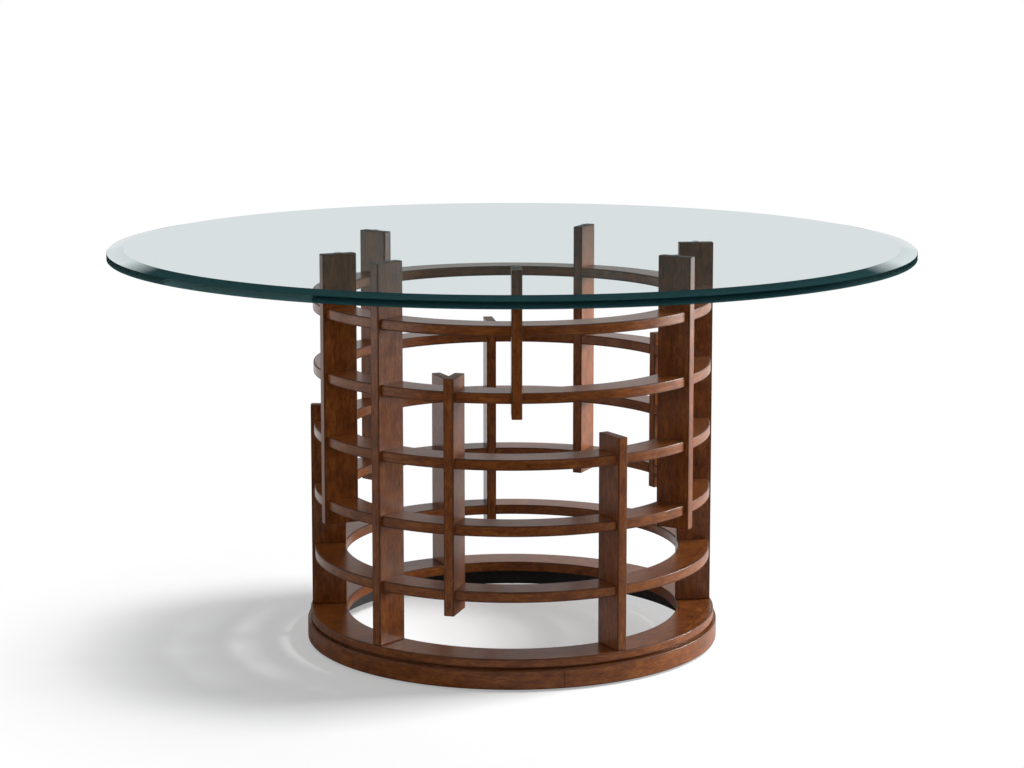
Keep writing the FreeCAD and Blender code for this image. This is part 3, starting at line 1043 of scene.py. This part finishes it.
    def build_floor(self) -> bpy.types.Object:
        """A pale matt floor, lifted to white where it is seen, that runs out into the white of the sweep.

        Returns:
            The floor.
        """
        half = self.floor_size / 2
        mesh = bpy.data.meshes.new("studio_floor")
        corners = [(-half, -half, 0), (half, -half, 0), (half, half, 0), (-half, half, 0)]
        mesh.from_pydata(corners, [], [(0, 1, 2, 3)])
        material, tree = new_material("white_paper_sweep")
        path = add_node(tree, "ShaderNodeLightPath")
        place = add_node(tree, "ShaderNodeTexCoord").outputs["Object"]
        away = add_node(tree, "ShaderNodeVectorMath", {"operation": "DISTANCE"}, in0=place,
                        in1=self.shade_centre).outputs["Value"]
        near, far = self.shade_reach
        fade = add_node(tree, "ShaderNodeMapRange", SMOOTH_STEP, Value=away, From_Min=near, From_Max=far)
        seen = self.seen(tree, path)
        gloss = add_node(tree, "ShaderNodeMath", MULTIPLY, in0=path.outputs["Is Glossy Ray"],
                         in1=self.behind(tree, place, self.gloss_reach))
        shows = add_node(tree, "ShaderNodeMath", MAXIMUM, in0=seen, in1=gloss)
        shown = add_node(tree, "ShaderNodeMath", MULTIPLY, in0=fade, in1=shows)
        front, back = linear(self.front_colour), linear(self.floor_colour)
        shade = add_node(tree, "ShaderNodeMix", COLOURS, in0=self.behind(tree, place, self.paper_end),
                         in6=front, in7=back).outputs["Result"]
        whole = add_node(tree, "ShaderNodeMix", COLOURS, in0=seen, in6=shade, in7=back).outputs["Result"]
        paper = add_node(tree, "ShaderNodeBsdfDiffuse", Color=whole)
        lift = add_node(tree, "ShaderNodeMath", MULTIPLY, in0=seen, in1=self.floor_lift)
        glow = add_node(tree, "ShaderNodeEmission", Color=WHITE, Strength=lift)
        lifted = add_node(tree, "ShaderNodeAddShader", in0=paper, in1=glow)
        white = add_node(tree, "ShaderNodeEmission", Color=WHITE, Strength=1.0)
        surface = add_node(tree, "ShaderNodeMixShader", in0=shown, in1=lifted, in2=white)
        add_node(tree, "ShaderNodeOutputMaterial", Surface=surface)
        mesh.materials.append(material)
        floor = bpy.data.objects.new("studio_floor", mesh)
        bpy.context.scene.collection.objects.link(floor)
        return floor

    @staticmethod
    def linked(name: str, item: bpy.types.Object, link: LightLink) -> bpy.types.Collection:
        """A collection that tells a lamp to keep to one object or to leave it out.

        Args:
            name: the collection's name.
            item: the object.
            link: which of the two.

        Returns:
            The collection.
        """
        collection = bpy.data.collections.new(name)
        collection.objects.link(item)
        collection.collection_objects[0].light_linking.link_state = link.value
        return collection

    def build_lamp(self, box: Softbox, floor: bpy.types.Object, on_floor: LightLink) -> bpy.types.Object:
        """Hang a lamp that lights the floor alone, or everything else.

        Args:
            box: what the lamp is and where it stands.
            floor: the floor.
            on_floor: whether the lamp lights the floor alone or leaves it out.

        Returns:
            The lamp.
        """
        lamp = bpy.data.lights.new(box.name, "AREA")
        lamp.energy = box.power
        lamp.shape = "RECTANGLE"
        lamp.size, lamp.size_y = box.size
        holder = bpy.data.objects.new(box.name, lamp)
        bpy.context.scene.collection.objects.link(holder)
        holder.location = box.place()
        drop = box.height - self.aim_height
        holder.rotation_euler = (math.atan2(box.distance, drop), 0, math.radians(box.bearing))
        holder.visible_camera = False
        holder.visible_transmission = False
        receivers = self.linked(f"{box.name}_on_floor", floor, on_floor)
        holder.light_linking.receiver_collection = receivers
        return holder

    def build_camera(self) -> None:
        """The photograph's view, with the focal length from pixels."""
        data = bpy.data.cameras.new("camera")
        data.sensor_width = self.sensor_mm
        data.lens = self.focal_pixels / self.picture_width * self.sensor_mm
        data.shift_y = self.shift_up
        camera = bpy.data.objects.new("camera", data)
        bpy.context.scene.collection.objects.link(camera)
        camera.location = (0, -self.camera_distance, self.camera_height)
        camera.rotation_euler = (math.radians(90 - self.camera_pitch), 0, 0)
        bpy.context.scene.camera = camera


def main() -> None:
    """Build the table, then the studio round it."""
    logging.basicConfig(level=logging.INFO, format="%(name)s: %(message)s")
    wood = StainedWood().build()
    lattice = Lattice()
    lattice.build(wood)
    RingBase().build(wood)
    Levellers().build()
    top = GlassTop()
    top.build_bumpers(lattice.posts)
    glass = top.build()
    dress_hidden_nodes()
    Studio().build(glass)


if __name__ == "__main__":
    main()
